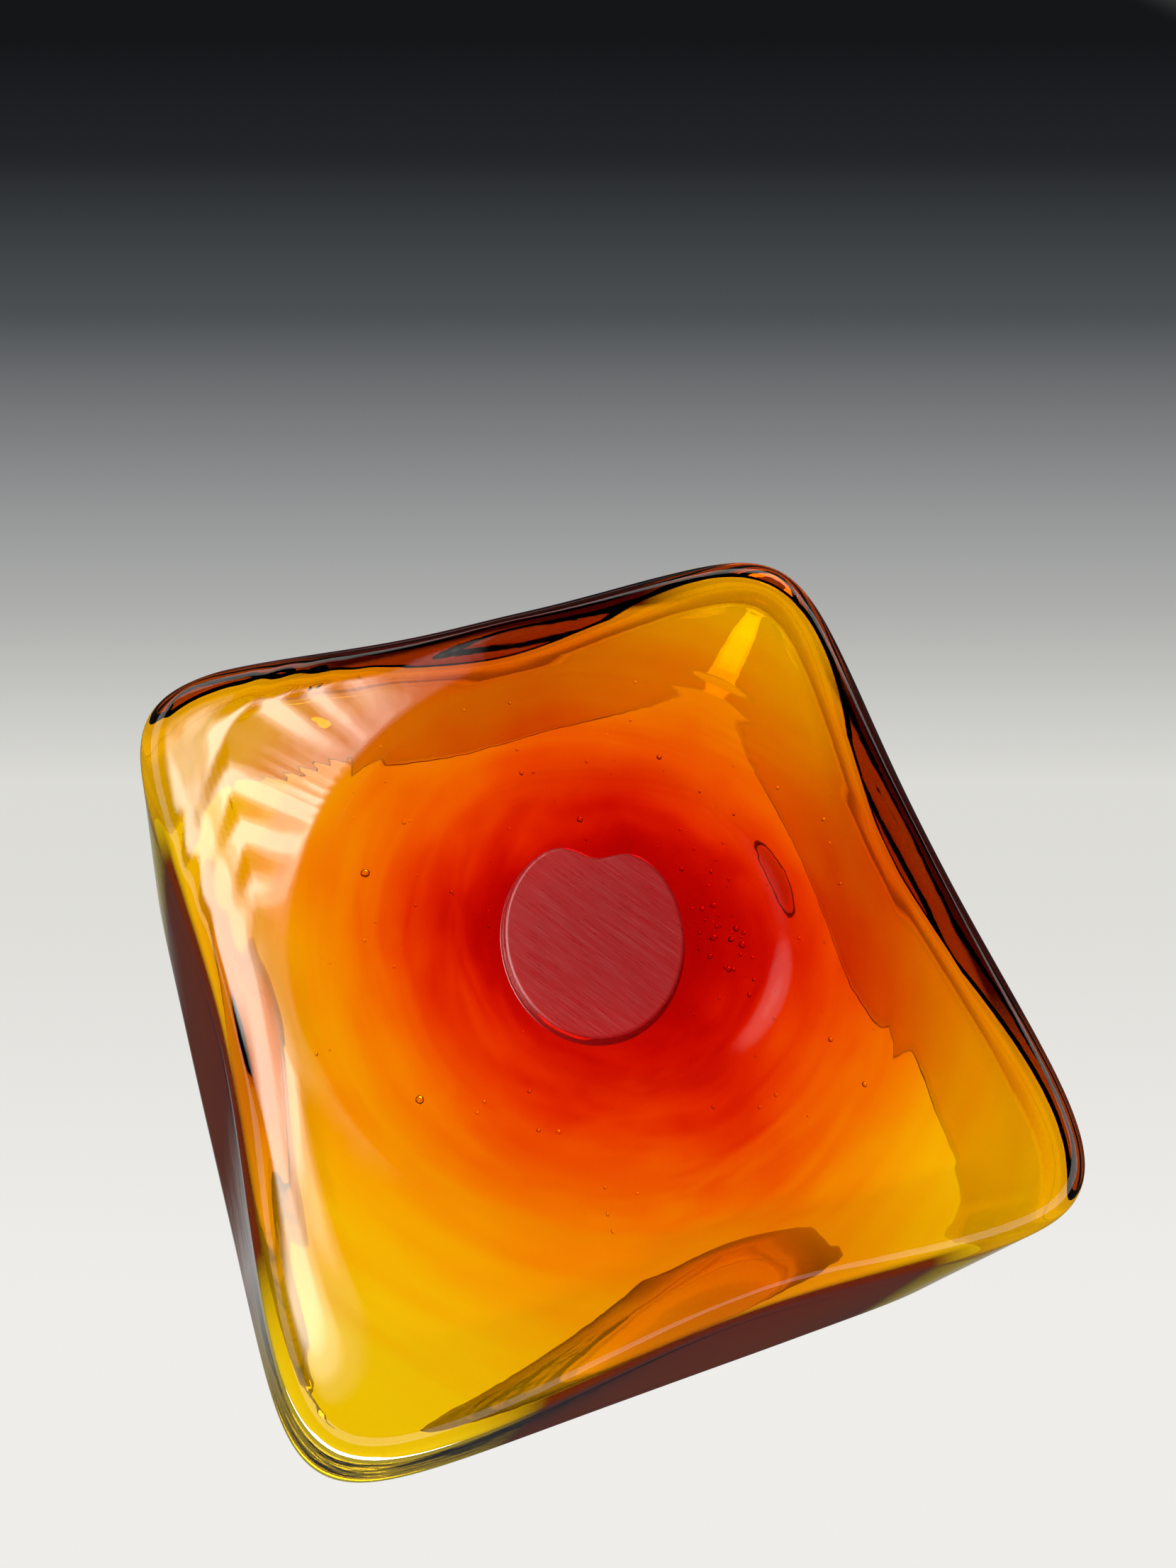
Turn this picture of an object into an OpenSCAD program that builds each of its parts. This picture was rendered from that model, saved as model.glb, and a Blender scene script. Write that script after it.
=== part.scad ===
// Square art glass bowl. A thick first gather (the lining) is cased in a second gather
// (the overlay), blown into a square mould and opened to a fire-polished lip. The side
// walls stay thick, the corners blow thin, and the bowl rests on a round foot ring. The
// punty wad that held it for finishing stays fused in the dimple and is ground flat.
// Millimetres, +Z up towards the opening, origin at the middle of the resting plane.

/* [Bowl] */
// Width across the flats at the lip
bowl_w = 166; // [136:1:200]
// Height from the resting plane to the crest of the lip
bowl_h = 66; // [52:1:90]
// How far the middle of each side leans out between shoulder and lip
flare_side = 5; // [0:0.25:8]
// How far each corner leans out between shoulder and lip
flare_corner = 1; // [0:0.25:4]
// How square the outline is (2 is a circle, more is squarer)
squareness = 8.5; // [6:0.5:12]
// How much longer the -X side is than its middle, and the +X side shorter
keystone = 0.031; // [0:0.001:0.04]
// How far the base sits off the middle of the lip, along X and Y
lean = [-2, 2]; // [-4:0.5:4]

/* [Shoulder] */
// Width of the rounded shoulder at the middle of a side
shoulder_side = 10.5; // [8:0.5:14]
// Width of the rounded shoulder at a corner
shoulder_corner = 21; // [16:0.5:26]
// Height of the rounded shoulder
shoulder_h = 9.5; // [7:0.5:13]
// How far the corners lift above the resting plane before the shoulder
corner_lift = 2; // [1:0.25:4]

/* [Walls] */
// Wall at the middle of a side, low down
side_wall = 9.5; // [7:0.25:12]
// Wall at the middle of a side, just under the lip
lip_wall = 5.5; // [4.5:0.25:7]
// Wall at a corner
corner_wall = 4; // [3:0.25:5.5]
// Glass under the cavity, above the resting plane
floor_t = 11; // [9:0.5:15]
// Height of the cove where the cavity floor turns up into a wall
cove_h = 12; // [8:0.5:20]
// Reach of that cove inwards at the middle of a side
cove_side = 12; // [8:0.5:26]
// Reach of that cove inwards at a corner
cove_corner = 20; // [14:0.5:36]
// Share of the glass thickness that is the lining
lining_share = 0.4; // [0.25:0.05:0.6]

/* [Foot and dimple] */
// Width of the flat band that the bowl rests on
foot_band = 4; // [3:0.5:6]
// Gap between that band and the shoulder at the middle of a side
foot_inset = 1.5; // [1:0.5:5]
// How far the middle of the foot ring is off the base's middle, along X and Y
foot_shift = [1, -2]; // [-3:0.5:3]
// How far the underside rises from the foot to the dimple's edge
kick_up = 1.2; // [0.6:0.1:2.5]
// Depth of the dimple below that edge
dimple_depth = 2; // [1.2:0.1:3.5]
// Width of the dimple's sloping wall
dimple_slope = 11; // [6:0.5:14]
// Where the middle of the dimple is, off the base's middle
dimple_shift = [-2, -2]; // [-6:0.5:6]

/* [Punty wad] */
// Width of the ground wad
wad_w = 37; // [30:0.5:42]
// Length of the ground wad, from its notch side to its tip
wad_l = 41; // [32:0.5:46]
// Depth of the notch in its outline
wad_notch = 4.5; // [0:0.5:7]
// How far its ground face is above the resting plane
wad_clear = 0.8; // [0.4:0.1:1.5]
// Width of the bevel around the ground face
wad_bevel = 0.6; // [0.3:0.1:1]
// Turn of the wad, from the notch pointing along +Y
wad_turn = 21; // [0:1:45]
// Where the middle of the wad is, off the base's middle
wad_shift = [5.5, -4.5]; // [-7:0.5:7]
// Glass left clear between the wad and the dimple's wall
wad_gap = 0.8; // [0.5:0.1:2]

/* [Hidden] */

AROUND = 80;          // points around each ring, a multiple of 8
CORNER_CROWD = 0.55;  // how strongly those points crowd into the corners
SHOULDER_STEP = 18;   // degrees between the shoulder's rings
COVE_STEP = 15;       // degrees between the cove's rings
LIP_STEP = 30;        // degrees between the lip's rings
WALL_STEPS = 4;       // rings up a wall
WAD_POINTS = 72;
NOTCH_SPREAD = 17;    // degrees either side over which the wad's notch fades out
NOTCH_FULLNESS = 0.05; // how much fuller the wad is at its notch than at its tip
SIDE_PINCH = 0.03;    // how much the wad's sides are drawn in
HALFWAY_RISE = 0.6;   // share of the kick-up left halfway from the dimple to the foot

lip_half = bowl_w / 2;
foot_out = lip_half - flare_side - shoulder_side - foot_inset - norm(foot_shift);
foot_in = foot_out - foot_band;
dimple_z = kick_up + dimple_depth;
shoulder_top = corner_lift + shoulder_h;
lip_h = lip_wall / 2;
wall_top = bowl_h - lip_h;

// Directions of the ring points, crowded towards the corners.
dirs = [for (i = [0:AROUND - 1]) let (t = 360 * i / AROUND)
    t + CORNER_CROWD * sin(4 * t) / 4 * 180 / PI];

// 0 at the middle of a side, 1 at a corner.
function corner(t) = pow(sin(2 * t), 2);
function blend(side, at_corner, t) = side + (at_corner - side) * corner(t);

// Distance from the axis to a rounded square of half width a.
function reach(t, a) =
    a / pow(pow(abs(cos(t)), squareness) + pow(abs(sin(t)), squareness), 1 / squareness);

// How far the middle is off the lip's middle at height z.
function leaned(z) = lean * max(0, 1 - z / wall_top);
function pole(z, c = [0, 0]) = let (p = c + leaned(z)) [p[0], p[1], z];

// One point at distance r and height z, in the keystone outline and leaned.
function place(t, r, z, c = [0, 0]) =
    let (x = c[0] + r * cos(t), y = c[1] + r * sin(t), off = leaned(z))
    [x + off[0], y * (1 - keystone * x / lip_half) + off[1], z];

// Half width of the outside, at a height fraction u of the wall.
function side_half(t, u) = lip_half - blend(flare_side, flare_corner, t) * (1 - u);
function wall_z(u) = shoulder_top + (wall_top - shoulder_top) * u;
function wall_t(t, u) = blend(side_wall + (lip_wall - side_wall) * u, corner_wall, t);

// Outside: foot, shoulder, wall, then up over the lip to its crest.
function round_row(r, z, c) = [for (t = dirs) place(t, r, z, c)];
function shoulder_row(p) = [for (t = dirs)
    let (lift = blend(0, corner_lift, t), rise = shoulder_top - lift)
    place(t, reach(t, side_half(t, 0)) - blend(shoulder_side, shoulder_corner, t) * (1 - sin(p)),
        lift + rise * (1 - cos(p)))];
function wall_row(u) = [for (t = dirs) place(t, reach(t, side_half(t, u)), wall_z(u))];
function lip_row(p) = [for (t = dirs)
    let (half = wall_t(t, 1) / 2)
    place(t, reach(t, lip_half) - half + half * cos(p), wall_top + lip_h * sin(p))];

// Heart-like outline of the wad: an oval, pinched to a tip and notched across from it.
function wad_point(q) =
    let (notch = wad_notch * exp(-pow((q - 90) / NOTCH_SPREAD, 2)),
         belly = 1 + NOTCH_FULLNESS * sin(q) - SIDE_PINCH * cos(2 * q),
         r = 1 / norm([cos(q) / (wad_w / 2), sin(q) / (wad_l / 2)]) * belly - notch)
    r * [cos(q), sin(q)];
wad_outline = [for (k = [0:WAD_POINTS - 1]) wad_point(-90 + 360 * k / WAD_POINTS)];
function turn2(p, a) = [p[0] * cos(a) - p[1] * sin(a), p[0] * sin(a) + p[1] * cos(a)];
function wad_reach() =
    max([for (p = wad_outline) norm(turn2(p, wad_turn) + wad_shift - dimple_shift)]);

dimple_r = wad_reach() + wad_gap;
dimple_top_r = dimple_r + dimple_slope;
outside = concat(
    [round_row(dimple_r / 2, dimple_z, dimple_shift),
     round_row(dimple_r, dimple_z, dimple_shift)],
    [for (p = [30:30:150]) round_row(dimple_r + dimple_slope * (1 - cos(p)) / 2,
        kick_up + dimple_depth * (1 + cos(p)) / 2, dimple_shift)],
    [round_row(dimple_top_r, kick_up, dimple_shift),
     round_row((dimple_top_r + foot_in) / 2, kick_up * HALFWAY_RISE, (dimple_shift + foot_shift) / 2),
     round_row(foot_in, 0, foot_shift),
     round_row(foot_out, 0, foot_shift)],
    [for (p = [0:SHOULDER_STEP:89]) shoulder_row(p)],
    [for (k = [0:WALL_STEPS]) wall_row(k / WALL_STEPS)],
    [for (p = [LIP_STEP:LIP_STEP:90]) lip_row(p)]);

// Cavity wall and floor, moved outwards by a share s of the glass around them.
function cavity_wall_row(u, s) = [for (t = dirs)
    place(t, reach(t, side_half(t, u)) - wall_t(t, u) * (1 - s), wall_z(u))];
cove_u = (floor_t + cove_h - shoulder_top) / (wall_top - shoulder_top);
function cove_row(p, s) = [for (t = dirs)
    let (r = reach(t, side_half(t, cove_u)) - wall_t(t, cove_u) * (1 - s),
         low = floor_t * (1 - s),
         rise = floor_t + cove_h - low)
    place(t, r - blend(cove_side, cove_corner, t) * (1 - sin(p)), low + rise * (1 - cos(p)))];
function floor_row(f, s) = [for (t = dirs)
    let (r = reach(t, side_half(t, cove_u)) - wall_t(t, cove_u) * (1 - s)
             - blend(cove_side, cove_corner, t))
    place(t, r * f, floor_t * (1 - s))];
function cavity(s) = concat(
    [for (k = [0:WALL_STEPS - 1]) cavity_wall_row(1 - (1 - cove_u) * k / WALL_STEPS, s)],
    [for (p = [90:-COVE_STEP:1]) cove_row(p, s)],
    [floor_row(1, s), floor_row(0.5, s)]);
lip_inside = [for (p = [90 + LIP_STEP:LIP_STEP:179]) lip_row(p)];
lining = cavity(0);
seam = cavity(lining_share);

// A closed skin through rings of points, with a pole at each end. Rings that climb the
// inner side first need their faces turned over.
module skin(rings, first_pole, last_pole, turn_over = false) {
    m = len(rings);
    points = concat([first_pole], [for (ring = rings) each ring], [last_pole]);
    function at(k, i) = 1 + k * AROUND + i % AROUND;
    last = 1 + m * AROUND;
    faces = concat(
        [for (i = [0:AROUND - 1]) [0, at(0, i), at(0, i + 1)]],
        [for (k = [0:m - 2], i = [0:AROUND - 1]) each [
            [at(k, i), at(k + 1, i), at(k + 1, i + 1)],
            [at(k, i), at(k + 1, i + 1), at(k, i + 1)]]],
        [for (i = [0:AROUND - 1]) [at(m - 1, i), last, at(m - 1, i + 1)]]);
    polyhedron(points, turn_over ? [for (f = faces) turned(f)] : faces);
}
function turned(list) = [for (k = [len(list) - 1:-1:0]) list[k]];
function last_of(list) = list[len(list) - 1];

module inner_gather() {
    color([0.86, 0.16, 0.03, 0.8])
        skin(concat(turned(concat(lip_inside, lining)), [last_of(outside)], seam),
            pole(floor_t), pole(floor_t * (1 - lining_share)), turn_over = true);
}

module outer_gather() {
    color([0.95, 0.62, 0.08, 0.55])
        skin(concat(outside, seam),
            pole(dimple_z, dimple_shift), pole(floor_t * (1 - lining_share)));
}

module punty_wad() {
    color([0.78, 0.2, 0.22, 0.9])
        translate(pole(wad_clear, wad_shift))
            rotate(wad_turn) {
                linear_extrude(wad_bevel)
                    polygon([for (p = wad_outline) p * (1 - wad_bevel / norm(p))]);
                translate([0, 0, wad_bevel])
                    linear_extrude(dimple_z - wad_clear - wad_bevel) polygon(wad_outline);
            }
}

inner_gather();
outer_gather();
punty_wad();
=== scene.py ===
# %% [markdown]
# # A square art glass bowl, seen from below
# The bowl is hot-worked glass: a first gather of glass is blown into a thick bubble, cased in
# a second gather, blown out in a square mould and opened to a fire-polished lip. The punty
# wad that held it for finishing is still fused in a dimple underneath, ground flat.
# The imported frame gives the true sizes; every surface here is worked out from them.

import bpy
import numpy as np
from mathutils import Matrix, Vector


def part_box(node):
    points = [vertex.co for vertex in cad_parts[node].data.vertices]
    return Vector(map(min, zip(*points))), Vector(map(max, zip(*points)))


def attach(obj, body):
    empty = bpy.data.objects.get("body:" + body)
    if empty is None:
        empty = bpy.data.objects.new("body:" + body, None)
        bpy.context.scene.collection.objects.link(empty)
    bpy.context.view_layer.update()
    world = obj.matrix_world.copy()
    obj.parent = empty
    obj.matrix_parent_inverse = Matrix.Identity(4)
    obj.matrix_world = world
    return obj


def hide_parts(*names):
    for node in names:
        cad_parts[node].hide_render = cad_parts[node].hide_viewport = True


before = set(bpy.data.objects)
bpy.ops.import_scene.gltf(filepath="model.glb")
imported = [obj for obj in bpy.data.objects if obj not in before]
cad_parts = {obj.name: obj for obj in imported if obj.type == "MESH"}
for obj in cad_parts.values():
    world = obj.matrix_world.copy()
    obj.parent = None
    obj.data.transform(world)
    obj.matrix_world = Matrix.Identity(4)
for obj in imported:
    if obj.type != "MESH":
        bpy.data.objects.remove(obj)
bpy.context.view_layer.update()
print("frame nodes:", sorted(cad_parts))

# %% [markdown]
# ## The camera
# The bowl is held upside down, so the camera looks at its underside: in the bowl's own
# frame, with the opening up, the camera is below the table and looks up. A camera's matrix
# has its right, its up and its backward directions as columns, so it can be built from
# where it stands, what it looks at, and which way the top of the picture points.

# %% Place the camera
CAMERA_AT = Vector((0.0760, -0.0753, -0.2297))
LOOK_AT = Vector((-0.0066, 0.0302, 0.0))
PICTURE_TOP = Vector((-0.219, 0.8545, -0.471))
FOCAL_WIDTHS = 1.0817  # the focal length, in widths of the picture
CAMERA_CLIP = (0.005, 20.0)  # nearest and farthest that it sees, in metres
SENSOR_MM = 36.0


def aim_camera(name, at, target, top):
    """A camera at a point, looking at a target, with the given direction up the picture."""
    forward = (target - at).normalized()
    right = forward.cross(top).normalized()
    up = right.cross(forward)
    turn = Matrix((right, up, -forward)).transposed().to_4x4()
    data = bpy.data.cameras.new(name)
    data.sensor_fit = "HORIZONTAL"
    data.sensor_width = SENSOR_MM
    data.lens = SENSOR_MM * FOCAL_WIDTHS
    data.clip_start, data.clip_end = CAMERA_CLIP
    camera = bpy.data.objects.new(name, data)
    camera.matrix_world = Matrix.Translation(at) @ turn
    bpy.context.scene.collection.objects.link(camera)
    return camera


camera = aim_camera("camera", CAMERA_AT, LOOK_AT, PICTURE_TOP)
bpy.context.scene.camera = camera
print("camera is", round((CAMERA_AT - LOOK_AT).length, 3), "m from the foot ring's plane")

# %% [markdown]
# ## The form
# A blown square bowl is one smooth skin: out along the underside, round the shoulder, up
# the wall, over the lip, and back down the cavity. So it is drawn as rings of points, each
# ring a rounded square (a superellipse) or a circle, and the rings are skinned together.
# One side is a little wider than the other, and the base sits a little off the middle of
# the lip, so the rings lean. The sizes are the bowl's own, in metres, and the box of the
# frame gives the overall ones.

# %% Sizes
MM = 0.001
overlay_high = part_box("outer_gather")[1]
BOWL_HALF = overlay_high.x
BOWL_H = overlay_high.z
FLARE = (5 * MM, 1 * MM)  # at the middle of a side, and at a corner
SQUARENESS = 8.5
KEYSTONE = 0.031  # how much one side is wider than the middle, as a share
SHOULDER = (10.5 * MM, 21 * MM)  # at the middle of a side, and at a corner
SHOULDER_H = 9.5 * MM
CORNER_LIFT = 2 * MM
SIDE_WALL = 9.5 * MM
LIP_WALL = 5.5 * MM
CORNER_WALL = 4 * MM
FLOOR_T = 11 * MM
COVE = (12 * MM, 20 * MM)
COVE_H = 12 * MM
LINING_SHARE = 0.4
SHOULDER_TOP = CORNER_LIFT + SHOULDER_H
LIP_H = LIP_WALL / 2
WALL_TOP = BOWL_H - LIP_H

LEAN = np.array([-2.0, 2.0]) * MM  # how far the base sits off the middle of the lip
FOOT_AT = np.array([1.0, -2.0]) * MM
FOOT_INSET = 1.5 * MM
FOOT_BAND = 4 * MM
FOOT_CROWN = 0.12 * MM  # how far the foot ring's edges rise from its middle line
FOOT_OUT = BOWL_HALF - FLARE[0] - SHOULDER[0] - FOOT_INSET - np.hypot(*FOOT_AT)
FOOT_IN = FOOT_OUT - FOOT_BAND
KICK_UP = 1.2 * MM  # how far the base rises from the foot ring to the dimple
DIMPLE_AT = np.array([-2.0, -2.0]) * MM
DIMPLE_SLOPE = 11 * MM
wad_low, wad_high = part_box("punty_wad")
DIMPLE_Z = wad_high.z
WAD_CLEAR = wad_low.z
print("bowl half width", round(BOWL_HALF, 4), "height", round(BOWL_H, 4), "dimple", round(DIMPLE_Z, 4))

# %% [markdown]
# Points on a rounded square bunch up in the flat sides unless they are steered into the
# corners, where the curve is tight. Adding a sine wave to evenly spaced angles does that.

# %% Outline functions
AROUND = 416
CORNER_CROWD = 0.5


def ring_angles(count, crowd=CORNER_CROWD):
    """Angles round a ring: even steps plus a sine wave that crowds them into the corners."""
    even = np.linspace(0, 2 * np.pi, count, endpoint=False)
    return even + crowd * np.sin(4 * even) / 4


def corner_share(angle):
    """0 at the middle of a side and 1 at a corner: the square of the sine of twice the angle."""
    return np.sin(2 * angle) ** 2


def side_to_corner(pair, angle):
    """A size that changes smoothly from its value at a side to its value at a corner."""
    return pair[0] + (pair[1] - pair[0]) * corner_share(angle)


def reach(angle, half):
    """Distance to a superellipse: half over the n-th root of |cos|^n + |sin|^n."""
    n = SQUARENESS
    return half / (np.abs(np.cos(angle)) ** n + np.abs(np.sin(angle)) ** n) ** (1 / n)


def smooth(t):
    """The smooth step 3t^2 - 2t^3, held at 0 and 1 outside."""
    t = np.clip(t, 0, 1)
    return t * t * (3 - 2 * t)


def leaned(height):
    """How far the middle is off the lip's middle: all of the lean at the table, none at the lip."""
    return np.maximum(0, 1 - np.asarray(height) / WALL_TOP)[..., None] * LEAN


def ring_points(angle, radius, height, middle=(0.0, 0.0)):
    """Points at a radius and height round a middle, one side wider, and leaned off the lip."""
    x = middle[0] + radius * np.cos(angle)
    y = middle[1] + radius * np.sin(angle)
    tall = height + 0 * x
    flat = np.stack([x, y * (1 - KEYSTONE * x / BOWL_HALF)], axis=-1) + leaned(tall)
    return np.concatenate([flat, tall[..., None]], axis=-1)


def pole(height, middle=(0.0, 0.0)):
    """The point at a height on the leaning middle line, or off it by a little."""
    return (*(leaned(height) + np.asarray(middle)), height)


def side_half(angle, u):
    """Half width of the outside at a share u of the wall: the lip's, less what still leans out."""
    return BOWL_HALF - side_to_corner(FLARE, angle) * (1 - u)


angles = ring_angles(AROUND)

# %% [markdown]
# ## The wad's heart-like outline
# The wad broke off unevenly and was ground flat, so its ground face is an oval with a notch.

# %% The wad's outline
WAD_W = 37 * MM
WAD_L = 41 * MM
WAD_NOTCH = 4.5 * MM
NOTCH_SPREAD = 17  # degrees from the notch's middle to where it is about a third as deep
WAD_AT = np.array([5.5, -4.5]) * MM
WAD_TURN = np.radians(21)
WAD_GAP = 0.8 * MM


def wad_radius(angle):
    """Distance to the wad's edge: an ellipse with a fuller foot, less a bell-shaped notch."""
    oval = 1 / np.hypot(np.cos(angle) / (WAD_W / 2), np.sin(angle) / (WAD_L / 2))
    belly = 1 + 0.05 * np.sin(angle) - 0.03 * np.cos(2 * angle)
    away = np.degrees(np.angle(np.exp(1j * (angle - np.pi / 2))))
    return oval * belly - WAD_NOTCH * np.exp(-((away / NOTCH_SPREAD) ** 2))


def wad_ring(angle, inset=0.0):
    """The wad's outline on the base, drawn in or out by an inset."""
    r = wad_radius(angle) - inset
    turned = angle + WAD_TURN
    return WAD_AT + np.stack([r * np.cos(turned), r * np.sin(turned)], axis=-1)


wad_angles = np.linspace(0, 2 * np.pi, 360, endpoint=False)
wad_reach = np.linalg.norm(wad_ring(wad_angles) - DIMPLE_AT, axis=1).max()
DIMPLE_R = wad_reach + WAD_GAP
DIMPLE_TOP_R = DIMPLE_R + DIMPLE_SLOPE
print("dimple radius", round(DIMPLE_R, 4), "to", round(DIMPLE_TOP_R, 4))

# %% [markdown]
# ## Rings of the outside and of the cavity
# Each group of rings is one stretch of the bowl. The underside's rings start as circles
# round the dimple and slide over to the foot ring's own middle; the shoulder is a quarter
# of an ellipse, wider at the corners; the lip is half an ellipse over the wall.

# %% Rings of the outside


def underside_rings():
    """Circles from the dimple's middle out to the foot ring, with the dimple's smooth wall."""
    radius = np.concatenate(
        [
            np.linspace(0.03, 1, 16) * DIMPLE_R,
            np.linspace(0, 1, 17)[1:] * DIMPLE_SLOPE + DIMPLE_R,
            np.linspace(DIMPLE_TOP_R, FOOT_IN, 14)[1:],
            np.linspace(FOOT_IN, FOOT_OUT, 6)[1:],
        ]
    )
    share = smooth((radius - DIMPLE_TOP_R) / (FOOT_IN - DIMPLE_TOP_R))
    dimple = (DIMPLE_Z - KICK_UP) * (1 - smooth((radius - DIMPLE_R) / DIMPLE_SLOPE))
    kick = KICK_UP * (1 - smooth((radius - DIMPLE_TOP_R) / (FOOT_IN - DIMPLE_TOP_R)))
    band = np.clip((radius - FOOT_IN) / (FOOT_OUT - FOOT_IN), 0, 1)
    ridge = FOOT_CROWN * (1 - np.sin(np.pi * band)) * (radius >= FOOT_IN)
    rings = []
    for r, s, z in zip(radius, share, dimple + kick + ridge):
        middle = DIMPLE_AT * (1 - s) + FOOT_AT * s
        rings.append(ring_points(angles, r, z, middle))
    return rings


def shoulder_rings():
    """A quarter ellipse from under the bowl to the upright wall, wider at the corners."""
    lift = side_to_corner((0.0, CORNER_LIFT), angles)
    width = side_to_corner(SHOULDER, angles)
    rings = []
    for turn in np.radians(np.linspace(0, 90, 26)[:-1]):
        radius = reach(angles, side_half(angles, 0.0)) - width * (1 - np.sin(turn))
        rings.append(ring_points(angles, radius, lift + (SHOULDER_TOP - lift) * (1 - np.cos(turn))))
    return rings


def wall_height(u):
    """Height at a share u of the wall, from the shoulder to just under the lip."""
    return SHOULDER_TOP + (WALL_TOP - SHOULDER_TOP) * u


def wall_thickness(u):
    """Glass in the wall: thick at the sides low down, thin at the lip and at the corners."""
    return side_to_corner((SIDE_WALL + (LIP_WALL - SIDE_WALL) * u, CORNER_WALL), angles)


def outer_wall_rings():
    """Rounded squares that lean out by the flare as they rise."""
    return [
        ring_points(angles, reach(angles, side_half(angles, u)), wall_height(u))
        for u in np.linspace(0, 1, 26)
    ]


def lip_rings():
    """Half an ellipse over the wall, from its outer face to its inner face."""
    half = wall_thickness(1.0) / 2
    return [
        ring_points(
            angles,
            reach(angles, BOWL_HALF) - half + half * np.cos(turn),
            WALL_TOP + LIP_H * np.sin(turn),
        )
        for turn in np.radians(np.linspace(0, 180, 20)[1:-1])
    ]


# %% [markdown]
# The cavity follows the outside at a distance, then turns in along a wide cove to the
# floor. Moving every ring outwards by a share of the glass around it gives the seam
# between the lining and the overlay.

# %% Rings of the cavity
COVE_U = (FLOOR_T + COVE_H - SHOULDER_TOP) / (WALL_TOP - SHOULDER_TOP)


def cavity_rings(share, top=1.0, skin=0.0):
    """Cavity wall, cove and floor, moved outwards by a share of the glass and by a skin."""
    rings = []
    for u in np.linspace(top, COVE_U, 22)[:-1]:
        radius = reach(angles, side_half(angles, u)) - wall_thickness(u) * (1 - share) + skin
        rings.append(ring_points(angles, radius, wall_height(u)))
    foot = reach(angles, side_half(angles, COVE_U)) - wall_thickness(COVE_U) * (1 - share) + skin
    width = side_to_corner(COVE, angles)
    low = FLOOR_T * (1 - share) - skin
    rise = FLOOR_T + COVE_H - low
    for turn in np.radians(np.linspace(90, 0, 32)):
        radius = foot - width * (1 - np.sin(turn))
        rings.append(ring_points(angles, radius, low + rise * (1 - np.cos(turn))))
    for f in np.linspace(1, 0.02, 30)[1:]:
        rings.append(ring_points(angles, (foot - width) * f, low))
    return rings


# %% [markdown]
# ## From rings to a mesh
# All the rings are stacked into one array. The faces between two rings are quads whose
# corner numbers follow from the ring and the step round it, so they are worked out as
# arrays too, and one point at each end closes the skin.

# %% Skin helper


def skin_faces(count, around):
    """Quads between rings, and fans to point 0 before them and to the last point after them."""
    number = 1 + np.arange(count * around).reshape(count, around)
    ahead = np.roll(number, -1, axis=1)
    quads = np.stack([number[:-1], ahead[:-1], ahead[1:], number[1:]], axis=-1).reshape(-1, 4)
    end = 1 + count * around
    caps = np.vstack(
        [
            np.stack([0 * number[0], ahead[0], number[0]], axis=-1),
            np.stack([number[-1], ahead[-1], 0 * number[-1] + end], axis=-1),
        ]
    )
    return quads, caps


def skin_mesh(name, rings, first, last):
    """A closed mesh through rings of points, with one pole before and one after them."""
    stack = np.asarray(rings)
    points = np.vstack([[first], stack.reshape(-1, 3), [last]])
    return mesh_from_arrays(name, points, *skin_faces(*stack.shape[:2]))


def mesh_from_arrays(name, points, quads, triangles):
    """A smooth-shaded mesh from arrays of points, four-sided and three-sided faces."""
    mesh = bpy.data.meshes.new(name)
    mesh.vertices.add(len(points))
    mesh.vertices.foreach_set("co", np.asarray(points, np.float32).ravel())
    loops = np.concatenate([quads.ravel(), triangles.ravel()]).astype(np.int32)
    sizes = np.concatenate([np.full(len(quads), 4), np.full(len(triangles), 3)])
    starts = np.concatenate([[0], np.cumsum(sizes)[:-1]]).astype(np.int32)
    mesh.loops.add(len(loops))
    mesh.loops.foreach_set("vertex_index", loops)
    mesh.polygons.add(len(sizes))
    mesh.polygons.foreach_set("loop_start", starts)
    mesh.polygons.foreach_set("use_smooth", np.ones(len(sizes), bool))
    mesh.update(calc_edges=True)
    mesh.validate()
    return mesh


def add_piece(name, mesh, material):
    """An object at the origin with that mesh and material, riding on the bowl's body."""
    piece = bpy.data.objects.new(name, mesh)
    bpy.context.scene.collection.objects.link(piece)
    piece.data.materials.append(material)
    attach(piece, "root")
    return piece


def signed_volume(mesh):
    """Volume inside a closed mesh: positive when its faces point outwards."""
    mesh.calc_loop_triangles()
    corners = np.zeros(len(mesh.loop_triangles) * 3, np.int32)
    mesh.loop_triangles.foreach_get("vertices", corners)
    points = np.zeros(len(mesh.vertices) * 3, np.float32)
    mesh.vertices.foreach_get("co", points)
    a, b, c = points.reshape(-1, 3)[corners.reshape(-1, 3)].transpose(1, 0, 2).astype(float)
    return float(np.einsum("ij,ij->i", a, np.cross(b, c)).sum() / 6)


# %% [markdown]
# ## What the fire and the hand leave
# Hand-worked glass is never true. Four things are added to the plain rings, each a smooth
# function of position: a slow wobble up the outside, a broader shoulder on one side, long low
# folds along that shoulder, and chill ripples where one corner touched the cool mould first,
# with a short comb of wrinkles inside them.

# %% Hand-worked surface
WOBBLE = 0.10 * MM
WAVES = (  # radians a metre along x, y and z, then the phase and the weight
    (71, 39, 0, 0.4, 1.0),
    (-47, 93, 55, 1.9, 1.0),
    (151, -83, 120, 0.7, 0.6),
    (171, 133, 0, 4.0, 0.5),
)
BROAD_START = 61 * MM
BROAD_EASE = 3 * MM
FOLD_HEIGHT = 0.10 * MM
FOLD_STEP = 6.5  # mm from fold to fold
RIDGE_HEIGHT = 0.17 * MM
RIDGE_STEP = 6.2  # mm from ridge to ridge
COMB_HEIGHT = 0.07 * MM
COMB_STEP = 2.3  # mm from wrinkle to wrinkle


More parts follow.
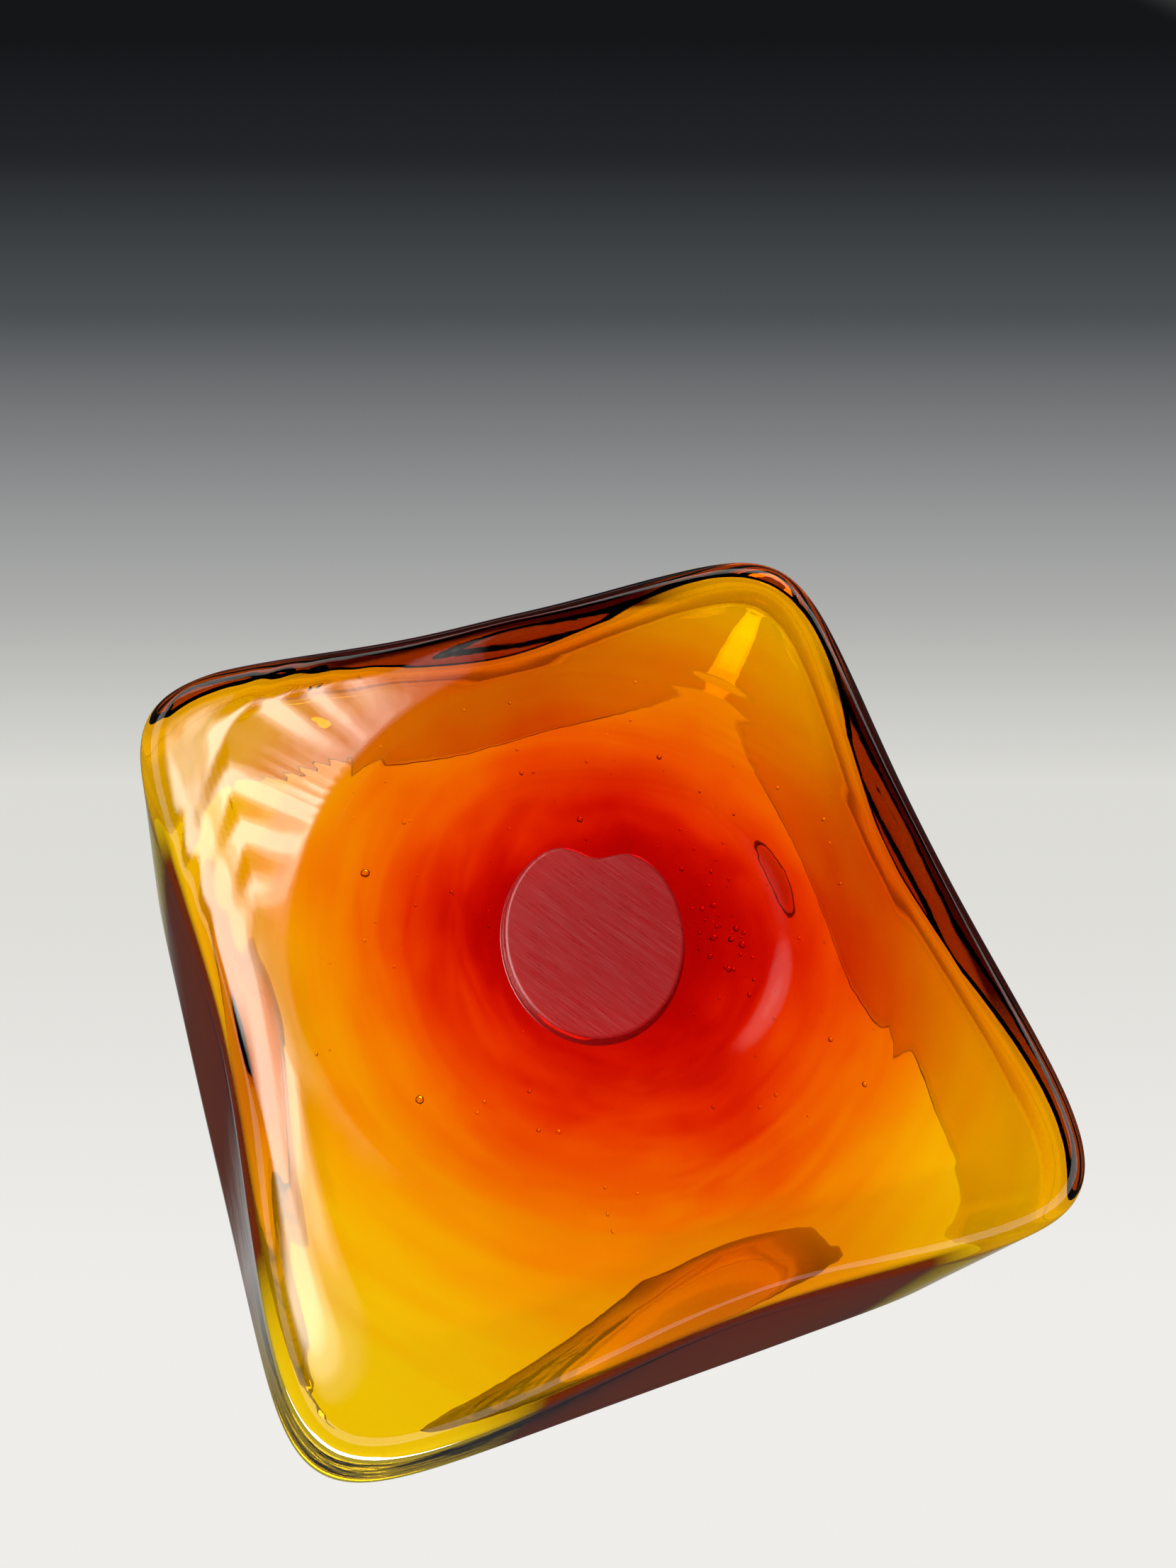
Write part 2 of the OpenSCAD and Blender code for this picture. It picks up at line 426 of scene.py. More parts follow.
def wobble(points, size):
    """A slow uneven swell: a sum of sine waves that cross at odd angles."""
    x, y, z = points[..., 0], points[..., 1], points[..., 2]
    swell = 0.0
    for along_x, along_y, along_z, phase, weight in WAVES:
        swell = swell + weight * np.sin(along_x * x + along_y * y + along_z * z + phase)
    return size * swell / sum(wave[-1] for wave in WAVES)


def square_radius(x, y):
    """Distance from the axis along the rounded square: its half width through that point."""
    angle = np.arctan2(y, x)
    return np.hypot(x, y) / reach(angle, 1.0)


def broad_shoulder(points):
    """Rise of a shoulder that starts farther in, on the side that cooled against the block."""
    x, y = points[..., 0], points[..., 1]
    angle = np.arctan2(y, x)
    rho = square_radius(x, y)
    run = np.clip((rho - BROAD_START) / (side_half(angle, 0.0) - BROAD_START), 0, 0.995)
    lift = side_to_corner((0.0, CORNER_LIFT), angle)
    target = lift * smooth(run * 2) + (SHOULDER_TOP - lift) * (1 - np.sqrt(1 - run**2))
    weight = smooth((np.cos(angle) + 0.1) / 0.7)
    return weight * np.maximum(target - points[..., 2], 0) * smooth((rho - BROAD_START) / BROAD_EASE)


def side_ripples(points):
    """Long low folds along the broad shoulder, below the rippled corner."""
    x, y = points[..., 0] / MM, points[..., 1] / MM
    rho = square_radius(points[..., 0], points[..., 1]) / MM
    phase = rho / FOLD_STEP + 0.30 * np.sin(y / 15 + 0.6)
    band = smooth((rho - 60) / 5) * (1 - smooth((rho - 73) / 5))
    run = smooth((x - 50) / 8) * (1 - smooth((y - 18) / 20)) * smooth((y + 62) / 14)
    return FOLD_HEIGHT * np.sin(2 * np.pi * phase) * band * run


def chill_ripples(points):
    """Long ridges that bow round the rippled corner, with a short comb inside them."""
    x, y = points[..., 0] / MM, points[..., 1] / MM
    across = 0.6 * x - 0.8 * y
    line = 0.8 * x + 0.6 * y + 0.0026 * (across + 4) ** 2
    inside = smooth((line - 60) / 5) * (1 - smooth((line - 84) / 8))
    spread = np.exp(-(((across + 3) / 30) ** 4))
    phase = line / RIDGE_STEP + 0.10 * np.sin(across / 11)
    ridges = RIDGE_HEIGHT * np.sin(2 * np.pi * phase) * inside * spread
    comb_band = np.exp(-(((line - 63.5) / 2.2) ** 2)) * np.exp(-(((across + 8) / 9) ** 4))
    comb = COMB_HEIGHT * np.sin(2 * np.pi * across / COMB_STEP + 0.2 * line) * comb_band
    return ridges + comb


def worked(rings):
    """The outside's rings, moved along their rough outward direction by the hand's marks."""
    points = np.asarray(rings)
    points[..., 2] += broad_shoulder(points)
    height = points[..., 2]
    flat = points[..., :2] / np.maximum(np.linalg.norm(points[..., :2], axis=-1, keepdims=True), 1e-9)
    swell = wobble(points, WOBBLE)
    up = smooth((height - 2 * MM) / SHOULDER_TOP)
    under = 1 - smooth((height - 1 * MM) / (9 * MM))
    moved = points.copy()
    moved[..., :2] += flat * (swell * up)[..., None]
    moved[..., 2] += under * (chill_ripples(points) + side_ripples(points))
    moved[..., 2] = np.maximum(moved[..., 2], 0)
    return moved


# %% [markdown]
# ## The bowl's glass
# Lining and overlay are fused, and light doesn't bend where they meet, so the glass that
# bends light is one skin: outside, lip and cavity. The lining's colour is a second piece.

# %% Build the glass body
outside = underside_rings() + shoulder_rings() + outer_wall_rings() + lip_rings()
marked = list(worked(outside))
body_rings = marked + cavity_rings(0.0)
body_mesh = skin_mesh("bowl_glass", body_rings, pole(DIMPLE_Z, DIMPLE_AT), pole(FLOOR_T))
outer_face = np.zeros(len(body_mesh.vertices), np.float32)
outer_face[: 1 + len(outside) * AROUND] = 1.0
body_mesh.attributes.new("outer_face", "FLOAT", "POINT").data.foreach_set("value", outer_face)
print("bowl glass:", len(body_mesh.polygons), "faces,", round(signed_volume(body_mesh) * 1e6, 1), "ml")

# %% [markdown]
# ## Materials
# Glass keeps a plain transmission of 1. Its colour has three parts. A plain absorption inside
# takes blue and green out of long paths. The struck colour, deep red where the glass stayed
# thick and hot, fades out with distance. And where light comes in through the outer face of the
# thick upright sides, the colour is a near-black red: painted shade for deep glass seen edge on.

# %% Node helpers


def socket(group, name, kind, way, value=None):
    """One named input or output on a node group."""
    made = group.interface.new_socket(name=name, in_out=way, socket_type=kind)
    if value is not None:
        made.default_value = value
    return made


def node(tree, kind, **settings):
    """A node of one kind, with its settings."""
    made = tree.nodes.new(kind)
    for key, value in settings.items():
        setattr(made, key, value)
    return made


def math_node(tree, operation, first, second=None, clamp=False):
    """A Math node fed by sockets or plain numbers; returns its output."""
    made = node(tree, "ShaderNodeMath", operation=operation, use_clamp=clamp)
    for index, value in enumerate((first, second)):
        if isinstance(value, bpy.types.NodeSocket):
            tree.links.new(value, made.inputs[index])
        elif value is not None:
            made.inputs[index].default_value = value
    return made.outputs[0]


def ramp_node(tree, factor, stops, curve="B_SPLINE"):
    """A Color Ramp through (place, colour) stops; returns its colour output."""
    made = node(tree, "ShaderNodeValToRGB")
    made.color_ramp.interpolation = curve
    while len(made.color_ramp.elements) < len(stops):
        made.color_ramp.elements.new(1.0)
    for element, (place, colour) in zip(made.color_ramp.elements, stops):
        element.position = place
        element.color = (*colour, 1.0)
    tree.links.new(factor, made.inputs[0])
    return made.outputs[0]


def mix_colour(tree, factor, first, second):
    """A mix of two colours or colour sockets by a factor socket."""
    mix = node(tree, "ShaderNodeMix", data_type="RGBA")
    tree.links.new(factor, mix.inputs[0])
    for index, value in ((6, first), (7, second)):
        if isinstance(value, bpy.types.NodeSocket):
            tree.links.new(value, mix.inputs[index])
        else:
            mix.inputs[index].default_value = (*value, 1.0)
    return mix.outputs[2]


def ease(tree, value, low, high):
    """A smooth step of a value between two limits, 0 at the first and 1 at the second."""
    made = node(tree, "ShaderNodeMapRange", interpolation_type="SMOOTHSTEP")
    made.inputs["From Min"].default_value = low
    made.inputs["From Max"].default_value = high
    tree.links.new(value, made.inputs["Value"])
    return made.outputs["Result"]


# %% Heat fade group
FADE_REACH = 0.11  # metres from the struck middle to where the colour has cleared
STRUCK_AT = (-0.002, -0.002, 0.004)


def heat_fade_group():
    """Distance from the struck middle over a reach, with an uneven, streaky edge."""
    group = bpy.data.node_groups.new("heat_fade", "ShaderNodeTree")
    socket(group, "Wander", "NodeSocketFloat", "INPUT", 0.05)
    socket(group, "Streaks", "NodeSocketFloat", "INPUT", 0.02)
    socket(group, "Height Weight", "NodeSocketFloat", "INPUT", 0.6)
    socket(group, "Fade", "NodeSocketFloat", "OUTPUT")
    source, sink = node(group, "NodeGroupInput"), node(group, "NodeGroupOutput")
    place = node(group, "ShaderNodeTexCoord")
    shift = node(group, "ShaderNodeVectorMath", operation="SUBTRACT")
    shift.inputs[1].default_value = STRUCK_AT
    group.links.new(place.outputs["Object"], shift.inputs[0])
    axes = node(group, "ShaderNodeSeparateXYZ")
    group.links.new(shift.outputs[0], axes.inputs[0])
    flat = math_node(
        group,
        "SQRT",
        math_node(
            group,
            "ADD",
            math_node(group, "MULTIPLY", axes.outputs[0], axes.outputs[0]),
            math_node(group, "MULTIPLY", axes.outputs[1], axes.outputs[1]),
        ),
    )
    tall = math_node(group, "MULTIPLY", axes.outputs[2], source.outputs["Height Weight"])
    distance = math_node(group, "DIVIDE", math_node(group, "ADD", flat, tall), FADE_REACH)
    cloud = node(group, "ShaderNodeTexNoise")
    cloud.inputs["Scale"].default_value = 26.0
    cloud.inputs["Detail"].default_value = 3.0
    group.links.new(place.outputs["Object"], cloud.inputs["Vector"])
    rings = node(group, "ShaderNodeCombineXYZ")
    group.links.new(math_node(group, "MULTIPLY", flat, 130.0), rings.inputs[0])
    group.links.new(math_node(group, "DIVIDE", axes.outputs[0], flat), rings.inputs[1])
    group.links.new(math_node(group, "DIVIDE", axes.outputs[1], flat), rings.inputs[2])
    streak = node(group, "ShaderNodeTexNoise")
    streak.inputs["Scale"].default_value = 1.4
    streak.inputs["Detail"].default_value = 4.0
    streak.inputs["Distortion"].default_value = 0.8
    group.links.new(rings.outputs[0], streak.inputs["Vector"])
    for texture, amount in ((cloud, "Wander"), (streak, "Streaks")):
        centred = math_node(group, "SUBTRACT", texture.outputs[0], 0.5)
        shifted = math_node(group, "MULTIPLY", centred, source.outputs[amount])
        distance = math_node(group, "ADD", distance, math_node(group, "MULTIPLY", shifted, 2.0))
    group.links.new(distance, sink.inputs["Fade"])
    return group


heat_fade = heat_fade_group()

# %% Painted side shade group
SHOULDER_EDGE = BOWL_HALF - FLARE[0] - LEAN[0] - SHOULDER[0]  # where two of the shoulders start


def painted_side_shade_group():
    """Where the side shade is painted: 1 on the middles of the upright sides and 0 at the corners; two
    sides start lower down.
    """
    group = bpy.data.node_groups.new("painted_side_shade", "ShaderNodeTree")
    socket(group, "Side", "NodeSocketFloat", "OUTPUT")
    sink = node(group, "NodeGroupOutput")
    place = node(group, "ShaderNodeTexCoord")
    axes = node(group, "ShaderNodeSeparateXYZ")
    group.links.new(place.outputs["Object"], axes.inputs[0])
    x, y, z = axes.outputs
    x_square, y_square = math_node(group, "MULTIPLY", x, x), math_node(group, "MULTIPLY", y, y)
    square = math_node(group, "ADD", x_square, y_square)
    cross = math_node(group, "DIVIDE", math_node(group, "MULTIPLY", x, y), square)
    corner = math_node(group, "MULTIPLY", math_node(group, "MULTIPLY", cross, cross), 4.0)
    far_out = math_node(group, "MAXIMUM", math_node(group, "MULTIPLY", x, -1.0), y)
    turned_up = ease(group, far_out, SHOULDER_EDGE + 0.8 * MM, SHOULDER_EDGE + 2.6 * MM)
    upright = math_node(group, "MAXIMUM", ease(group, z, 5.5 * MM, 7.5 * MM), turned_up)
    middle = ease(group, corner, 0.98, 0.62)
    group.links.new(math_node(group, "MULTIPLY", upright, middle), sink.inputs["Side"])
    return group


painted_side_shade = painted_side_shade_group()

# %% Surface wear group
RUB_HEIGHT = 0.25 * MM  # the table rubs the glass up to this height


def wear_group():
    """Handling marks: fine scratches and a rub band where the bowl stands, as a 0 to 1 mask."""
    group = bpy.data.node_groups.new("table_wear", "ShaderNodeTree")
    socket(group, "Scratch Scale", "NodeSocketFloat", "INPUT", 260.0)
    socket(group, "Turn", "NodeSocketFloat", "INPUT", 0.4)
    socket(group, "Scratches", "NodeSocketFloat", "OUTPUT")
    socket(group, "Rub", "NodeSocketFloat", "OUTPUT")
    source, sink = node(group, "NodeGroupInput"), node(group, "NodeGroupOutput")
    place = node(group, "ShaderNodeTexCoord")
    turn = node(group, "ShaderNodeVectorRotate", rotation_type="Z_AXIS")
    group.links.new(place.outputs["Object"], turn.inputs["Vector"])
    group.links.new(source.outputs["Turn"], turn.inputs["Angle"])
    stretch = node(group, "ShaderNodeMapping")
    stretch.inputs["Scale"].default_value = (9.0, 0.35, 1.0)
    group.links.new(turn.outputs[0], stretch.inputs["Vector"])
    lines = node(group, "ShaderNodeTexNoise")
    lines.inputs["Detail"].default_value = 5.0
    lines.inputs["Roughness"].default_value = 0.7
    group.links.new(stretch.outputs[0], lines.inputs["Vector"])
    group.links.new(source.outputs["Scratch Scale"], lines.inputs["Scale"])
    group.links.new(lines.outputs[0], sink.inputs["Scratches"])
    axes = node(group, "ShaderNodeSeparateXYZ")
    group.links.new(place.outputs["Object"], axes.inputs[0])
    off_table = math_node(group, "DIVIDE", axes.outputs[2], RUB_HEIGHT)
    low = math_node(group, "SUBTRACT", 1.0, off_table, clamp=True)
    spots = node(group, "ShaderNodeTexNoise")
    spots.inputs["Scale"].default_value = 420.0
    spots.inputs["Detail"].default_value = 4.0
    group.links.new(place.outputs["Object"], spots.inputs["Vector"])
    group.links.new(math_node(group, "MULTIPLY", low, spots.outputs[0]), sink.inputs["Rub"])
    return group


table_wear = wear_group()

# %% Glass of the body
GLASS_IOR = 1.51
ABSORB_COLOUR = (0.956, 0.888, 0.05)
ABSORB_DENSITY = 480.0
SIDE_PAINTED_SHADE = (0.03, 0.0014, 0.0001)  # painted shade: the near-black red of the thick sides' outer face


def new_material(name):
    """An empty material with an output node; returns the material, its tree and the output."""
    material = bpy.data.materials.new(name)
    material.use_nodes = True
    material.node_tree.nodes.clear()
    out = node(material.node_tree, "ShaderNodeOutputMaterial")
    return material, material.node_tree, out


def placed_group(tree, group, **values):
    """A copy of a node group in a material, with its own input values."""
    made = node(tree, "ShaderNodeGroup")
    made.node_tree = group
    for key, value in values.items():
        made.inputs[key.replace("_", " ")].default_value = value
    return made


def body_glass():
    """Clear amber glass whose surface tint warms to orange over the thick middle, with painted
    near-black shade on the outer face of the upright sides.
    """
    material, tree, out = new_material("amber_overlay")
    glass = node(tree, "ShaderNodeBsdfPrincipled")
    glass.inputs["Transmission Weight"].default_value = 1.0
    glass.inputs["IOR"].default_value = GLASS_IOR
    fade = placed_group(tree, heat_fade, Wander=0.12, Streaks=0.07, Height_Weight=0.55)
    colour = ramp_node(
        tree,
        fade.outputs["Fade"],
        [
            (0.0, (0.98, 0.12, 0.01)),
            (0.26, (0.99, 0.16, 0.012)),
            (0.42, (1.0, 0.42, 0.02)),
            (0.62, (1.0, 0.80, 0.10)),
            (0.9, (1.0, 0.96, 0.22)),
        ],
    )
    side = placed_group(tree, painted_side_shade).outputs["Side"]
    sight = node(tree, "ShaderNodeNewGeometry")
    outer = node(tree, "ShaderNodeAttribute", attribute_name="outer_face")
    leaving = sight.outputs["Backfacing"]
    entering = math_node(tree, "SUBTRACT", outer.outputs["Fac"], leaving, clamp=True)
    # painted shade: where light enters the upright sides' outer face, the colour is near-black red
    colour = mix_colour(tree, math_node(tree, "MULTIPLY", side, entering), colour, SIDE_PAINTED_SHADE)
    tree.links.new(colour, glass.inputs["Base Color"])
    wear = placed_group(tree, table_wear, Scratch_Scale=300.0, Turn=0.9)
    rough = math_node(tree, "MULTIPLY", wear.outputs["Rub"], 0.16)
    tree.links.new(math_node(tree, "ADD", rough, 0.004), glass.inputs["Roughness"])
    bump = node(tree, "ShaderNodeBump")
    bump.inputs["Strength"].default_value = 0.08
    bump.inputs["Distance"].default_value = 0.0006
    place = node(tree, "ShaderNodeTexCoord")
    peel = node(tree, "ShaderNodeTexNoise")
    peel.inputs["Scale"].default_value = 120.0
    peel.inputs["Detail"].default_value = 2.0
    tree.links.new(place.outputs["Object"], peel.inputs["Vector"])
    tree.links.new(peel.outputs[0], bump.inputs["Height"])
    tree.links.new(bump.outputs[0], glass.inputs["Normal"])
    absorb = node(tree, "ShaderNodeVolumeAbsorption")
    absorb.inputs["Color"].default_value = (*ABSORB_COLOUR, 1.0)
    absorb.inputs["Density"].default_value = ABSORB_DENSITY
    tree.links.new(glass.outputs[0], out.inputs["Surface"])
    tree.links.new(absorb.outputs[0], out.inputs["Volume"])
    return material


body = add_piece("bowl_glass", body_mesh, body_glass())
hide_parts("outer_gather")
print("bowl glass rides on the root, in the place of the overlay")

# %% [markdown]
# ## The lining
# The lining's glass bends light just as the overlay's does, so it needs no surface of its
# own: it only tints. Its piece is a thin closed shell just under the cavity, with a
# Transparent shader whose colour is deep red in the middle and clears towards the walls.

# %% Build the lining
LINING_SKIN = 0.25 * MM  # glass left between the tint and the cavity
LINING_TOP = 0.97  # the share of the wall that the tint climbs


def lining_glass():
    """A tint without a surface: deep red in the middle, clearing outwards and upwards."""
    material, tree, out = new_material("struck_lining")
    fade = placed_group(tree, heat_fade, Wander=0.14, Streaks=0.09, Height_Weight=0.9)
    colour = ramp_node(
        tree,
        fade.outputs["Fade"],
        [
            (0.0, (0.58, 0.015, 0.02)),
            (0.24, (0.70, 0.05, 0.03)),
            (0.38, (0.92, 0.32, 0.12)),
            (0.56, (1.0, 0.72, 0.40)),
            (0.85, (1.0, 0.97, 0.9)),
        ],
    )
    tint = node(tree, "ShaderNodeBsdfTransparent")
    tree.links.new(colour, tint.inputs["Color"])
    tree.links.new(tint.outputs[0], out.inputs["Surface"])
    return material


lining_outer = cavity_rings(LINING_SHARE, top=LINING_TOP)
lining_inner = cavity_rings(0.0, top=LINING_TOP, skin=LINING_SKIN)
lining_mesh = skin_mesh(
    "lining",
    lining_outer[::-1] + lining_inner,
    pole(FLOOR_T * (1 - LINING_SHARE)),
    pole(FLOOR_T - LINING_SKIN),
)
lining = add_piece("lining", lining_mesh, lining_glass())
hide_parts("inner_gather")
lining_ml = round(signed_volume(lining_mesh) * 1e6, 1)
print("lining:", len(lining_mesh.polygons), "faces,", lining_ml, "ml")

# %% [markdown]
# ## The punty wad
# The wad is a thick button of glass. Its face was ground on a wheel, which leaves it frosted,
# with fine parallel scratches and a crisp edge; its sides are the glossy, rounded flank.

# %% Build the wad
WAD_SEAT = 0.04 * MM  # how far the back stays clear of the dimple
WAD_TONES = [
    (0.0, (0.70, 0.03, 0.03)),
    (0.34, (0.58, 0.03, 0.04)),
    (0.52, (0.60, 0.05, 0.06)),
    (0.72, (0.86, 0.22, 0.24)),
]
WAD_SPREAD = 0.7 * MM  # how far the flank flares out where it meets the dimple
WAD_FROST = 0.34
FACE_DEPTH = 0.15 * MM  # the frost is gone this far up the flank


def wad_rings():
    """Ground face from the middle out, a crisp edge, a rounded flank and the seated back."""
    around = np.linspace(0, 2 * np.pi, 288, endpoint=False)
    back = DIMPLE_Z - WAD_SEAT
    shift = leaned(WAD_CLEAR)
    rings = []
    for f in np.linspace(0.04, 1, 26):
        ring = WAD_AT + (wad_ring(around) - WAD_AT) * f + shift
        rings.append(np.column_stack([ring, np.full(len(around), WAD_CLEAR)]))
    for turn in np.radians(np.linspace(0, 90, 14)[1:]):
        ring = wad_ring(around, -WAD_SPREAD * (1 - np.cos(turn))) + shift
        height = WAD_CLEAR + (back - WAD_CLEAR) * np.sin(turn)
        rings.append(np.column_stack([ring, np.full(len(around), height)]))
    for f in np.linspace(1, 0.05, 18)[1:]:
        ring = WAD_AT + (wad_ring(around, -WAD_SPREAD) - WAD_AT) * f + shift
        rings.append(np.column_stack([ring, np.full(len(around), back)]))
    return rings


def wad_glass():
    """Frosted ground face with wheel scratches; glossy flank above it."""
    material, tree, out = new_material("ground_wad")
    glass = node(tree, "ShaderNodeBsdfPrincipled")
    glass.inputs["Transmission Weight"].default_value = 0.82
    glass.inputs["IOR"].default_value = GLASS_IOR
    wear = placed_group(tree, table_wear, Scratch_Scale=330.0, Turn=0.62)
    place = node(tree, "ShaderNodeTexCoord")
    axes = node(tree, "ShaderNodeSeparateXYZ")
    tree.links.new(place.outputs["Object"], axes.inputs[0])
    scratches = wear.outputs["Scratches"]
    above = math_node(tree, "SUBTRACT", axes.outputs[2], WAD_CLEAR)
    over = math_node(tree, "DIVIDE", above, FACE_DEPTH)
    face = math_node(tree, "SUBTRACT", 1.0, over, clamp=True)
    spread = math_node(tree, "MULTIPLY", math_node(tree, "SUBTRACT", scratches, 0.5), 0.5)
    frost = math_node(tree, "ADD", spread, WAD_FROST)
    tree.links.new(math_node(tree, "MULTIPLY", face, frost), glass.inputs["Roughness"])
    ground = math_node(tree, "ADD", scratches, -0.1)
    tone = math_node(tree, "MULTIPLY", face, ground, clamp=True)
    colour = ramp_node(tree, tone, WAD_TONES)
    tree.links.new(colour, glass.inputs["Base Color"])
    bump = node(tree, "ShaderNodeBump")
    bump.inputs["Strength"].default_value = 0.35
    bump.inputs["Distance"].default_value = 0.0002
    tree.links.new(math_node(tree, "MULTIPLY", face, scratches), bump.inputs["Height"])
    tree.links.new(bump.outputs[0], glass.inputs["Normal"])
    tree.links.new(glass.outputs[0], out.inputs["Surface"])
    return material


wad_mesh = skin_mesh(
    "punty_wad_glass",
    wad_rings(),
    (*(WAD_AT + leaned(WAD_CLEAR)), WAD_CLEAR),
    (*(WAD_AT + leaned(WAD_CLEAR)), DIMPLE_Z - WAD_SEAT),
)
wad = add_piece("punty_wad_glass", wad_mesh, wad_glass())
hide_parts("punty_wad")
print("wad:", len(wad_mesh.polygons), "faces,", round(signed_volume(wad_mesh) * 1e6, 2), "ml")

# %% [markdown]
# ## Seeds
# Seeds are bubbles of air caught in the glass. Each is a ball of 40 faces, and one
# array holds all of them: the same ball, scaled and moved to its own place.

# %% Build the seeds
SEED_COUNT = 170
SEED_REACH = 62 * MM
SEED_DEPTHS = (5.2, 9.6)  # mm above the table
CROWD_SHARE = 0.3
CROWD_AT = (-25 * MM, -4 * MM)
CROWD_SPREAD = (3.5 * MM, 9 * MM)


def ball_rings(steps_up=5, steps_round=8):
    """Rings of points round a ball of radius 1, between its two poles."""
    up = np.linspace(0, np.pi, steps_up + 1)[1:-1]
    turn = np.linspace(0, 2 * np.pi, steps_round, endpoint=False)
    return np.stack(
        [
            np.outer(np.sin(up), np.cos(turn)),
            np.outer(np.sin(up), np.sin(turn)),
            np.outer(-np.cos(up), np.ones(steps_round)),
        ],
        axis=-1,
    )


def many_balls(name, places, sizes):
    """One mesh of many small balls, made by broadcasting a ball over places and sizes."""
    rings = ball_rings()
    unit = np.vstack([[[0, 0, -1.0]], rings.reshape(-1, 3), [[0, 0, 1.0]]])
    points = places[:, None, :] + unit[None] * sizes[:, None, :]
    quads, caps = skin_faces(*rings.shape[:2])
    step = len(unit) * np.arange(len(places))[:, None, None]
    return mesh_from_arrays(
        name, points.reshape(-1, 3), (quads + step).reshape(-1, 4), (caps + step).reshape(-1, 3)
    )


def seed_places(rng):
    """Places in the thick base, more of them over the dimple's open side, and their sizes."""
    turn = rng.uniform(0, 2 * np.pi, SEED_COUNT)
    radius = SEED_REACH * np.sqrt(rng.uniform(0.02, 1, SEED_COUNT))
    height = rng.uniform(*SEED_DEPTHS, SEED_COUNT) * MM
    place = np.stack([radius * np.cos(turn), radius * np.sin(turn), height], -1)
    crowd = rng.uniform(size=SEED_COUNT) < CROWD_SHARE
    place[crowd, :2] = rng.normal(CROWD_AT, CROWD_SPREAD, (crowd.sum(), 2))
    size = rng.gamma(2.0, 0.075, SEED_COUNT) * MM + 0.10 * MM
    stretch = rng.uniform(0.8, 1.5, (SEED_COUNT, 3))
    return place, size[:, None] * stretch


def seed_air():
    """The bright skin of a bubble inside glass."""
    material, tree, out = new_material("seed_air")
    air = node(tree, "ShaderNodeBsdfPrincipled")
    air.inputs["Base Color"].default_value = (1.0, 0.94, 0.90, 1.0)
    air.inputs["Roughness"].default_value = 0.02
    air.inputs["IOR"].default_value = 1.4
    air.inputs["Transmission Weight"].default_value = 1.0
    tree.links.new(air.outputs[0], out.inputs["Surface"])
    return material


seed_at, seed_size = seed_places(np.random.default_rng(11))
seeds_mesh = many_balls("seeds", seed_at, seed_size)
seeds = add_piece("seeds", seeds_mesh, seed_air())
print("seeds:", SEED_COUNT, "of", round(seed_size.mean() * 2000, 2), "mm on average")

# %% [markdown]
# ## Table and light
# The table is plain and pale. It shows from above only, so that a camera below it sees the
# bowl, and it lets the bowl's underside mirror the room. Above the table hangs a sheet that
# goes from pale to dark. Below the table the room is dark but for two soft windows, and a
# soft lamp hangs overhead.

# %% The table
TABLE_HALF = 8.0
TABLE_DROP = 0.02 * MM  # keeps the table just clear of the foot ring
MIRROR_HOLE = 0.125  # metres round the bowl in which mirror rays pass the table
MIRROR_GAP = 0.022  # the longest such ray, in metres


def table_material():
    """Pale matt paint, seen from above; clear from below and to the underside's mirror rays."""
    material, tree, out = new_material("table_paint")
    paint = node(tree, "ShaderNodeBsdfPrincipled")
    paint.inputs["Base Color"].default_value = (0.80, 0.80, 0.79, 1.0)
    paint.inputs["Roughness"].default_value = 0.7
    clear = node(tree, "ShaderNodeBsdfTransparent")
    sight = node(tree, "ShaderNodeNewGeometry")
    path = node(tree, "ShaderNodeLightPath")
    reach_out = node(tree, "ShaderNodeVectorMath", operation="LENGTH")
    tree.links.new(sight.outputs["Position"], reach_out.inputs[0])
    near = math_node(tree, "LESS_THAN", reach_out.outputs["Value"], MIRROR_HOLE)
    short = math_node(tree, "LESS_THAN", path.outputs["Ray Length"], MIRROR_GAP)
    passed = path.outputs["Is Transmission Ray"]
    bounced = math_node(tree, "SUBTRACT", path.outputs["Is Glossy Ray"], passed)
    bounced = math_node(tree, "MAXIMUM", bounced, path.outputs["Is Shadow Ray"])
    mirrored = math_node(tree, "MULTIPLY", math_node(tree, "MULTIPLY", bounced, near), short)
    hidden = math_node(tree, "MAXIMUM", sight.outputs["Backfacing"], mirrored)
    mix = node(tree, "ShaderNodeMixShader")
    tree.links.new(hidden, mix.inputs[0])
    tree.links.new(paint.outputs[0], mix.inputs[1])
    tree.links.new(clear.outputs[0], mix.inputs[2])
    tree.links.new(mix.outputs[0], out.inputs["Surface"])
    return material


corners = np.array([[-1, -1, 0], [1, -1, 0], [1, 1, 0], [-1, 1, 0]]) * TABLE_HALF
corners[:, 2] = -TABLE_DROP
table_mesh = mesh_from_arrays("table", corners, np.array([[0, 1, 2, 3]]), np.zeros((0, 3), int))
table = bpy.data.objects.new("table", table_mesh)
bpy.context.scene.collection.objects.link(table)
table.data.materials.append(table_material())

# %% The room's light
SHEET_AHEAD = Vector((-0.3105, 0.3966, 0.8639))
SHEET_DARK_END = Vector((-0.2189, 0.8545, -0.471))
SHEET_SIDE = Vector((-0.925, -0.3354, -0.1785))
SHEET_REACH = 60  # degrees of climb over which the sheet's tones run
SHEET_FOOT = (0.72, 0.715, 0.68)
SHEET_TONES = [
    (0.0, SHEET_FOOT),
    (0.117, (0.45, 0.45, 0.435)),
    (0.175, (0.345, 0.352, 0.35)),
    (0.231, (0.25, 0.253, 0.258)),
    (0.338, (0.072, 0.08, 0.087)),
    (0.4375, (0.0165, 0.0185, 0.022)),
    (0.506, (0.0075, 0.008, 0.009)),
    (0.60, (0.0075, 0.008, 0.009)),
    (0.80, (0.70, 0.70, 0.68)),
]
SHEET_UNDER = (0.86, 0.85, 0.82)
BESIDE_SHEET = (0.80, 0.80, 0.78)
ROOM_ABOVE = (0.03, 0.03, 0.035)
